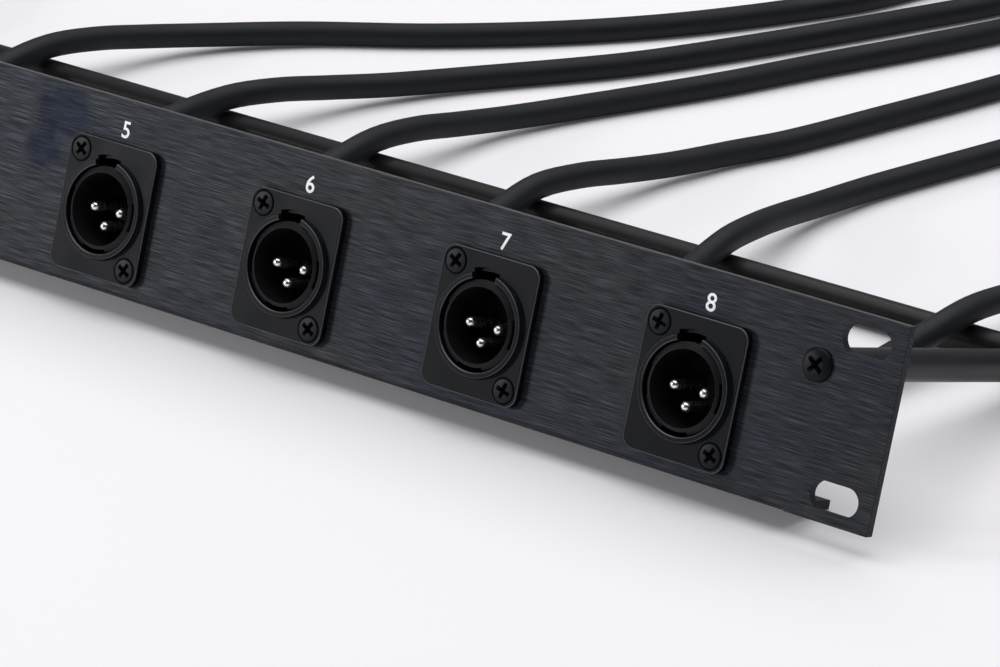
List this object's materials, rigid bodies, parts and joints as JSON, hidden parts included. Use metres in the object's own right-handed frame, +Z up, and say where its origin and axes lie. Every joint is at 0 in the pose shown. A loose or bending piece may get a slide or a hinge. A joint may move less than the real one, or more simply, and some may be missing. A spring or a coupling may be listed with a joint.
{
  "type": "xlr patch panel",
  "caption": "Rack panel of male XLR sockets with a rear lacing bar and a coiled cable tail with a jack plug on each socket, leaning on its folded lip and the bar.",
  "frame": {"origin": "middle of the underside of the part without its cables, where it stands on the table", "axes": "+X along the panel towards socket 8, +Y to the rear where the cables go, +Z up"},
  "size_m": [0.5369, 0.5084, 0.0471],
  "materials": {
    "anodised_panel": "black anodised, brushed along its length",
    "painted_bar": "satin black",
    "black_screw": "glossy black zinc",
    "cast_shell": "satin black coating",
    "moulded_insert": "black moulded plastic",
    "cable_jacket": "matt black jacket",
    "plug_handle": "satin black handle"
  },
  "bodies": {
    "root": {"bar_screw_left": "black_screw", "bar_screw_right": "black_screw", "coil_1": "cable_jacket", "coil_2": "cable_jacket", "coil_3": "cable_jacket", "coil_4": "cable_jacket", "coil_5": "cable_jacket", "coil_6": "cable_jacket", "coil_7": "cable_jacket", "coil_8": "cable_jacket", "flange_screw_1_lower": "black_screw", "flange_screw_1_upper": "black_screw", "flange_screw_2_lower": "black_screw", "flange_screw_2_upper": "black_screw", "flange_screw_3_lower": "black_screw", "flange_screw_3_upper": "black_screw", "flange_screw_4_lower": "black_screw", "flange_screw_4_upper": "black_screw", "flange_screw_5_lower": "black_screw", "flange_screw_5_upper": "black_screw", "flange_screw_6_lower": "black_screw", "flange_screw_6_upper": "black_screw", "flange_screw_7_lower": "black_screw", "flange_screw_7_upper": "black_screw", "flange_screw_8_lower": "black_screw", "flange_screw_8_upper": "black_screw", "insert_1": "moulded_insert", "insert_2": "moulded_insert", "insert_3": "moulded_insert", "insert_4": "moulded_insert", "insert_5": "moulded_insert", "insert_6": "moulded_insert", "insert_7": "moulded_insert", "insert_8": "moulded_insert", "lacing_bar": "painted_bar", "panel": "anodised_panel", "plug_1": "plug_handle", "plug_2": "plug_handle", "plug_3": "plug_handle", "plug_4": "plug_handle", "plug_5": "plug_handle", "plug_6": "plug_handle", "plug_7": "plug_handle", "plug_8": "plug_handle", "shell_1": "cast_shell", "shell_2": "cast_shell", "shell_3": "cast_shell", "shell_4": "cast_shell", "shell_5": "cast_shell", "shell_6": "cast_shell", "shell_7": "cast_shell", "shell_8": "cast_shell", "tail_1": "cable_jacket", "tail_2": "cable_jacket", "tail_3": "cable_jacket", "tail_4": "cable_jacket", "tail_5": "cable_jacket", "tail_6": "cable_jacket", "tail_7": "cable_jacket", "tail_8": "cable_jacket"}
  },
  "joints": []
}
